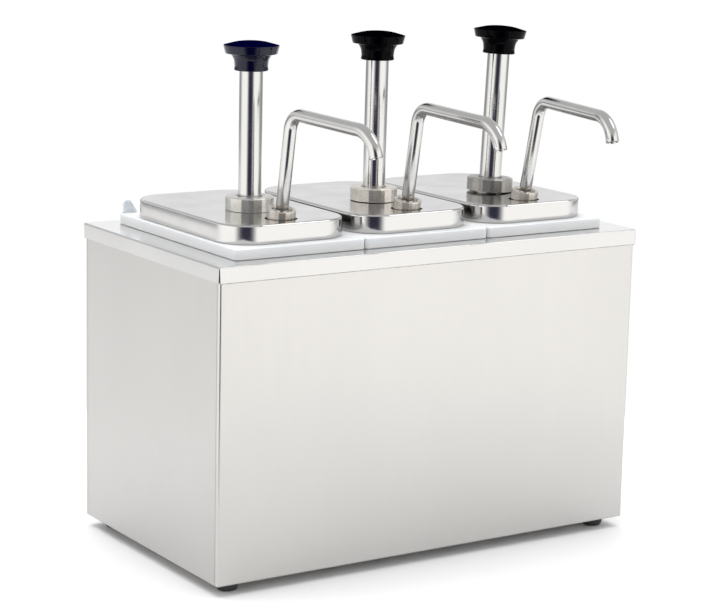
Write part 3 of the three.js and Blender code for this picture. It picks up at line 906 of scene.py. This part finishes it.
def collar(side, steel):
    node = f"lock_collar_{side}"
    seat = LID_TOP + BAYS[side]["play"]
    bottom, top = seat - COLLAR_SINK, seat + COLLAR_H
    web = top - COLLAR_WEB_H
    inside = turned(
        "inside",
        [
            (0, bottom - 5, 0),
            (BODY_R + PLAY, bottom - 5, 0),
            (BODY_R + PLAY, web, 0),
            (COLLAR_BORE_R, web, 0),
            (COLLAR_BORE_R, top - 0.8, 0),
            (COLLAR_BORE_R + 2, top + 1.2, 0),
            (0, top + 1.2, 0),
        ],
    )
    piece = nut(
        f"{node}_casting",
        COLLAR_R,
        bottom,
        top,
        COLLAR_CORNERS,
        COLLAR_FLAT_SHARE,
        BAYS[side]["collar_turn"],
        COLLAR_CHAMFERS,
        inside,
    )
    standing_in(moved(piece, plunger_frame(side)), node, steel, NUT_SHARP)


def union_nut(side, steel):
    node = f"union_nut_{side}"
    inside = turned(
        "inside",
        [
            (0, NUT_FROM - 4, 0),
            (RISER_STUB_R + PLAY, NUT_FROM - 4, 0),
            (RISER_STUB_R + PLAY, NUT_LIP, 0),
            (NUT_LIP_R, NUT_LIP, 0),
            (NUT_LIP_R, NUT_TO - 1.6, 0),
            (NUT_LIP_R + 2, NUT_TO + 0.4, 0),
            (0, NUT_TO + 2, 0),
        ],
    )
    piece = nut(
        f"{node}_casting",
        NUT_R,
        NUT_FROM,
        NUT_TO,
        NUT_CORNERS,
        NUT_FLAT_SHARE,
        BAYS[side]["nut_turn"],
        NUT_CHAMFERS,
        inside,
    )
    standing_in(moved(piece, leg_frame(side)), node, steel, NUT_SHARP)


def spout(side, steel):
    """Bent tube: leg, elbow, drooping arm and a down-turned tip, with its ferrule."""
    bend = Vector((-ARM_L * math.cos(ARM_RISE), LEG_L + ARM_L * math.sin(ARM_RISE)))
    tip = bend + Vector((-math.cos(TIP_DROP), -math.sin(TIP_DROP))) * TIP_L
    line = rounded(
        [(0, SPOUT_FROM, 0), (0, LEG_L, ELBOW_R), (bend.x, bend.y, TIP_BEND_R), (tip.x, tip.y, 0)],
        steps=24,
    )
    frame_of_leg = leg_frame(side, BAYS[side]["yaw"])
    tube = swept(f"spout_{side}_tube", [Vector((0, p.x, p.y)) for p in line], SPOUT_R, SPOUT_WALL, 56)
    standing_in(moved(bevelled(tube, 0.3, 60), frame_of_leg), f"spout_{side}", steel)
    ring = turned(
        f"ferrule_{side}_ring",
        [
            (SPOUT_R + PLAY / 2, SPOUT_FROM, 0.1),
            (FERRULE_R, SPOUT_FROM, 0.3),
            (FERRULE_R, SPOUT_FROM + 2, 0.3),
            (FERRULE_NECK_R, SPOUT_FROM + 2, 0.3),
            (FERRULE_NECK_R, FERRULE_TOP - 1, 0.5),
            (SPOUT_R + 0.9, FERRULE_TOP - 1.6, 1.0),
            (SPOUT_R + 0.5, FERRULE_TOP, 0.1),
            (SPOUT_R + PLAY / 2, FERRULE_TOP, 0.1),
        ],
    )
    standing_in(moved(ring, frame_of_leg), f"ferrule_{side}", steel)


def riser(side, steel):
    outline = [
        (RISER_R - RISER_WALL, RISER_FOOT, 0.3),
        (RISER_R, RISER_FOOT, 0.3),
        (RISER_R, RISER_STUB[0], 0.8),
        (RISER_STUB_R, RISER_STUB[0], 0.6),
        (RISER_STUB_R, RISER_STUB[1], 0.5),
        (RISER_R - RISER_WALL, RISER_STUB[1], 0.4),
    ]
    piece = turned(f"riser_tube_{side}_pipe", outline)
    standing_in(moved(piece, leg_frame(side)), f"riser_tube_{side}", steel)


def plunger_tube(side, steel):
    node = f"plunger_tube_{side}"
    top = LID_TOP + BAYS[side]["knob_rise"] + KNOB_SOCKET_H
    outline = [
        (TUBE_R - TUBE_WALL, TUBE_BOTTOM, 0.3),
        (TUBE_R, TUBE_BOTTOM, 0.3),
        (TUBE_R, top, 0.3),
        (TUBE_R - TUBE_WALL, top, 0.3),
    ]
    piece = turned(f"{node}_pipe", outline, 96)
    standing_in(moved(piece, plunger_frame(side)), node, steel)


def knob(side, plastic):
    """Mushroom knob: flared foot, hollow neck, widening rim and crowned top."""
    node = f"knob_{side}"
    bottom = LID_TOP + BAYS[side]["knob_rise"]
    socket_r = TUBE_R + PLAY
    outline = [
        (0, KNOB_SOCKET_H + PLAY, 0),
        (socket_r, KNOB_SOCKET_H + PLAY, 0.3),
        (socket_r, 0, 0.5),
        (KNOB_FOOT_R, 0, 1.0),
        (*KNOB_WAIST, 3),
        (*KNOB_FLARE[0], 12),
        (*KNOB_FLARE[1], 2.0),
        (*KNOB_RIM[0], 0.9),
        (*KNOB_RIM[1], 0.7),
        (KNOB_R / 2, KNOB_H - 1.0, 60),
        (0, KNOB_H, 0),
    ]
    piece = turned(f"{node}_cap", [(r, bottom + z, f) for r, z, f in outline], 128)
    standing_in(moved(piece, plunger_frame(side)), node, plastic)


def cylinder(side):
    """Pump cylinder with its head flange under the lid and a threaded stub above it."""
    head_top = LID_TOP - SHEET - BAYS[side]["play"]
    outline = [
        (SEAT_HOLE_R, BODY_BOTTOM, 0.3),
        (BODY_R, BODY_BOTTOM, 0.6),
        (BODY_R, head_top - HEAD_H, 0.8),
        (HEAD_R, head_top - HEAD_H, 0.5),
        (HEAD_R, head_top, 0.4),
        (BODY_R, head_top, 0.3),
        (BODY_R, STUB_TOP, 0.6),
        (BORE_R, STUB_TOP, 0.4),
        (BORE_R, BODY_BOTTOM + SEAT_H, 0.8),
        (SEAT_HOLE_R, BODY_BOTTOM + SEAT_H, 0.3),
    ]
    return turned(f"pump_cylinder_{side}_body", outline)


def bushing(side):
    bottom = BUSHING_TOP - BUSHING_H
    outline = [
        (TUBE_R + PLAY, bottom, 0.4),
        (BORE_R - PLAY, bottom, 0.6),
        (BORE_R - PLAY, BUSHING_TOP, 0.6),
        (TUBE_R + PLAY, BUSHING_TOP, 0.4),
    ]
    return turned(f"guide_bushing_{side}_sleeve", outline)


def piston(side):
    top = PISTON_BOTTOM + PISTON_H
    groove_r = PISTON_R - SEAL_DEPTH - PLAY
    groove_bottom = PISTON_BOTTOM + (PISTON_H - SEAL_H) / 2 - PLAY
    groove_top = groove_bottom + SEAL_H + 2 * PLAY
    spigot_r = TUBE_R - TUBE_WALL - PLAY
    outline = [
        (0, PISTON_BOTTOM, 0),
        (PISTON_R, PISTON_BOTTOM, 0.6),
        (PISTON_R, groove_bottom, 0.3),
        (groove_r, groove_bottom, 0.3),
        (groove_r, groove_top, 0.3),
        (PISTON_R, groove_top, 0.3),
        (PISTON_R, top, 0.6),
        (spigot_r, top, 0.3),
        (spigot_r, top + SPIGOT_H, 0.8),
        (0, top + SPIGOT_H, 0),
    ]
    return turned(f"piston_{side}_core", outline)


def piston_seal(side):
    bottom = PISTON_BOTTOM + (PISTON_H - SEAL_H) / 2
    inner = PISTON_R - SEAL_DEPTH
    outer = PISTON_R + PLAY
    top = bottom + SEAL_H
    outline = [(inner, bottom, 0.6), (outer, bottom, 1), (outer, top, 1), (inner, top, 0.6)]
    return turned(f"piston_seal_{side}_ring", outline)


def check_ball(side, steps=20):
    centre = VALVE_SEAT + math.sqrt(BALL_R**2 - INLET_R**2) + 2 * PLAY
    arc = [math.pi * (k / steps - 0.5) for k in range(1, steps)]
    side_points = [(BALL_R * math.cos(a), centre + BALL_R * math.sin(a), 0) for a in arc]
    outline = [(0, centre - BALL_R, 0), *side_points, (0, centre + BALL_R, 0)]
    return turned(f"check_ball_{side}_sphere", outline, 48)


def foot_valve(side):
    """Valve body under the cylinder, with the leaning boss that the riser fits into."""
    upright = plunger_frame(side)
    leaning = leg_frame(side)
    body = moved(solid_disc(f"foot_valve_{side}_body", VALVE_R, VALVE_BOTTOM, VALVE_TOP, 1.2), upright)
    boss = solid_disc("boss", BOSS_R, RISER_FOOT - BOSS_BELOW, RISER_FOOT + BOSS_ABOVE, 1.2)
    combined(body, moved(boss, leaning), "UNION")
    socket_top = RISER_FOOT + BOSS_ABOVE + RISER_CLEARANCE
    cut(
        body,
        moved(solid_disc("socket", BODY_R + PLAY, BODY_BOTTOM - PLAY, VALVE_TOP + 2), upright),
        moved(solid_disc("riser_socket", RISER_R + PLAY, RISER_FOOT - PLAY, socket_top), leaning),
        moved(solid_disc("riser_bore", RISER_R - RISER_WALL, RISER_FOOT - RISER_PORT, RISER_FOOT), leaning),
        moved(solid_disc("chamber", CHAMBER_R, VALVE_SEAT, BODY_BOTTOM), upright),
        moved(solid_disc("inlet", INLET_R, VALVE_BOTTOM - 1, VALVE_SEAT + 1), upright),
    )
    return bevelled(body, 0.3, 50)


def return_spring(side, steel, turns=9, steps=24):
    node = f"return_spring_{side}"
    low = BODY_BOTTOM + SEAT_H + PLAY
    high = PISTON_BOTTOM - PLAY
    path = []
    for k in range(turns * steps + 1):
        angle = 2 * math.pi * k / steps
        rise = low + WIRE_R + (high - low - 2 * WIRE_R) * k / (turns * steps)
        path.append(Vector((SPRING_R * math.cos(angle), SPRING_R * math.sin(angle), rise)))
    frame_of_plunger = plunger_frame(side)
    coil = moved(swept(f"{node}_coil", path, WIRE_R, segments=10), frame_of_plunger)
    standing_in(coil, node, steel)
    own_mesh(coil)


def inside_parts(side, looks):
    """What the jar and the cylinder hide."""
    upright = plunger_frame(side)
    for kind, build, look in (
        ("pump_cylinder", cylinder, "inner_steel"),
        ("guide_bushing", bushing, "bushing_plastic"),
        ("piston", piston, "bushing_plastic"),
        ("piston_seal", piston_seal, "seal_rubber"),
        ("check_ball", check_ball, "polished_tube"),
    ):
        standing_in(moved(build(side), upright), f"{kind}_{side}", looks[look])
    standing_in(foot_valve(side), f"foot_valve_{side}", looks["inner_steel"])
    return_spring(side, looks["spring_steel"])


def bay(side, looks):
    jar(side, looks["jar_plastic"])
    lid(side, looks["lid_steel"])
    collar(side, looks[f"cast_steel_{side}"])
    union_nut(side, looks["cast_steel_nut"])
    spout(side, looks["satin_spout"])
    riser(side, looks["inner_steel"])
    plunger_tube(side, looks["polished_tube"])
    knob(side, looks[f"knob_{side}"])
    inside_parts(side, looks)


# ---- stage, light and camera ----


def floor():
    """Plain pale disc that the dispenser stands on."""
    piece = solid_disc("floor", FLOOR_R, -FLOOR_H, 0)
    look = Look("floor", (0.80, 0.80, 0.80), 0.6)
    look.tint(look.noise(3, detail=2), (0.79, 0.79, 0.795))
    piece.data.materials.append(look.material)


def toward_camera():
    return Vector((math.sin(CAMERA_AZIMUTH), -math.cos(CAMERA_AZIMUTH), 0))


def camera():
    sine, cosine = math.sin(CAMERA_ELEVATION), math.cos(CAMERA_ELEVATION)
    back = toward_camera() * cosine + Vector((0, 0, sine))
    across = Vector((math.cos(CAMERA_AZIMUTH), math.sin(CAMERA_AZIMUTH), 0))
    above = back.cross(across)
    right = math.cos(CAMERA_ROLL) * across + math.sin(CAMERA_ROLL) * above
    up = back.cross(right)
    data = bpy.data.cameras.new("camera")
    data.lens = CAMERA_LENS
    data.sensor_width = 36
    data.clip_start = 0.1
    eye = bpy.data.objects.new("camera", data)
    turn = Matrix((right, up, back)).transposed().to_4x4()
    eye.matrix_world = Matrix.Translation(CAMERA_AT) @ turn
    bpy.context.scene.collection.objects.link(eye)
    bpy.context.scene.camera = eye


def studio():
    """Room seen in the metal: bright walls, a dark curtain behind the camera, a dimmer ceiling and a softbox
    high on the right. The camera itself sees plain white."""
    world = bpy.data.worlds.new("studio")
    bpy.context.scene.world = world
    world.use_nodes = True
    tree = world.node_tree
    nodes, links = tree.nodes, tree.links
    nodes.clear()

    def math_node(operation, a, b=None):
        node = nodes.new("ShaderNodeMath")
        node.operation = operation
        for socket, value in zip(node.inputs, (a, b)):
            if value is None:
                continue
            if isinstance(value, (int, float)):
                socket.default_value = value
            else:
                links.new(value, socket)
        return node.outputs["Value"]

    def ramp(value, start, end, low=0.0, high=1.0):
        node = nodes.new("ShaderNodeMapRange")
        node.interpolation_type = "SMOOTHSTEP"
        for name, number in (("From Min", start), ("From Max", end), ("To Min", low), ("To Max", high)):
            node.inputs[name].default_value = number
        links.new(value, node.inputs["Value"])
        return node.outputs["Result"]

    def mix(factor, a, b):
        node = nodes.new("ShaderNodeMix")
        node.data_type = "RGBA"
        links.new(factor, node.inputs["Factor"])
        for name, value in (("A", a), ("B", b)):
            if isinstance(value, tuple):
                node.inputs[name].default_value = (*value, 1)
            else:
                links.new(value, node.inputs[name])
        return node.outputs["Result"]

    direction = nodes.new("ShaderNodeTexCoord").outputs["Generated"]
    split = nodes.new("ShaderNodeSeparateXYZ")
    links.new(direction, split.inputs["Vector"])
    x, y, height = split.outputs["X"], split.outputs["Y"], split.outputs["Z"]
    front = toward_camera()
    level = math_node("SQRT", math_node("ADD", math_node("MULTIPLY", x, x), math_node("MULTIPLY", y, y)))
    along = math_node("ADD", math_node("MULTIPLY", x, front.x), math_node("MULTIPLY", y, front.y))
    facing = math_node("DIVIDE", along, math_node("MAXIMUM", level, 0.001))
    walls = mix(ramp(facing, *FAR_TO_SIDE), FAR_WALL, SIDE_WALL)
    walls = mix(ramp(facing, *SIDE_TO_NEAR), walls, NEAR_WALL)
    strip_start, strip_end = (math.cos(math.radians(angle)) for angle in STRIP_EDGE)
    walls = mix(ramp(facing, strip_start, strip_end), walls, STRIP)
    behind = mix(ramp(height, *WALL_TO_HORIZON), walls, HORIZON)
    behind = mix(ramp(height, *HORIZON_TO_BAND), behind, BAND)
    behind = mix(ramp(height, *BAND_TO_CEILING), behind, CEILING)
    before = mix(ramp(height, *NEAR_TO_CEILING), walls, CEILING)
    room = mix(ramp(facing, *BEHIND_TO_BEFORE), behind, before)
    box = Vector(SOFTBOX_TOWARDS).normalized()
    turned_x = math_node("MULTIPLY", x, box.x)
    turned_y = math_node("MULTIPLY", y, box.y)
    turned_z = math_node("MULTIPLY", height, box.z)
    closeness = math_node("ADD", math_node("ADD", turned_x, turned_y), turned_z)
    inner, outer = (math.cos(math.radians(angle)) for angle in SOFTBOX_EDGE)
    room = mix(ramp(closeness, outer, inner), room, SOFTBOX_GLOW)
    seen = nodes.new("ShaderNodeLightPath").outputs["Is Camera Ray"]
    final = mix(seen, room, (1.0, 1.0, 1.0))
    background = nodes.new("ShaderNodeBackground")
    links.new(final, background.inputs["Color"])
    output = nodes.new("ShaderNodeOutputWorld")
    links.new(background.outputs["Background"], output.inputs["Surface"])


def soft_sun(name, towards, strength, spread):
    """Sun with a wide soft shadow, which the metal does not mirror."""
    data = bpy.data.lights.new(name, "SUN")
    data.energy = strength
    data.angle = math.radians(spread)
    light = bpy.data.objects.new(name, data)
    light.rotation_euler = Vector(towards).to_track_quat("Z", "Y").to_euler()
    light.visible_glossy = False
    bpy.context.scene.collection.objects.link(light)


def lights():
    soft_sun("overhead", OVERHEAD_FROM, strength=2.5, spread=60)
    soft_sun("front_fill", toward_camera() + Vector((0, 0, 0.5)), strength=0.5, spread=50)


camera()
LOOKS = {
    "jar_plastic": jar_plastic(),
    "lid_steel": lid_steel(),
    "polished_tube": polished_tube(),
    "satin_spout": satin_spout(),
    "inner_steel": inner_steel(),
    "spring_steel": spring_steel(),
    "bushing_plastic": bushing_plastic(),
    "seal_rubber": rubber("seal_rubber"),
    "cast_steel_left": cast_steel("cast_steel_left", (0.58, 0.57, 0.545), (0.47, 0.46, 0.435)),
    "cast_steel_middle": cast_steel("cast_steel_middle", (0.66, 0.63, 0.59), (0.53, 0.50, 0.455)),
    "cast_steel_right": cast_steel("cast_steel_right", (0.35, 0.34, 0.325), (0.28, 0.27, 0.255)),
    "cast_steel_nut": cast_steel("cast_steel_nut", (0.55, 0.53, 0.495), (0.42, 0.37, 0.31)),
    "knob_left": knob_plastic("knob_plastic_left", (0.0002, 0.0003, 0.014), 0.3),
    "knob_middle": knob_plastic("knob_plastic_middle", (0.0002, 0.0002, 0.0008), 0.04),
    "knob_right": knob_plastic("knob_plastic_right", (0.0002, 0.0002, 0.0008), 0.04),
}
cabinet(brushed_panel(), frame_steel(), rubber("foot_rubber"), painted_seam_shadow())
for bay_side in BAYS:
    bay(bay_side, LOOKS)
floor()
studio()
lights()
bpy.context.scene.view_settings.view_transform = "Standard"
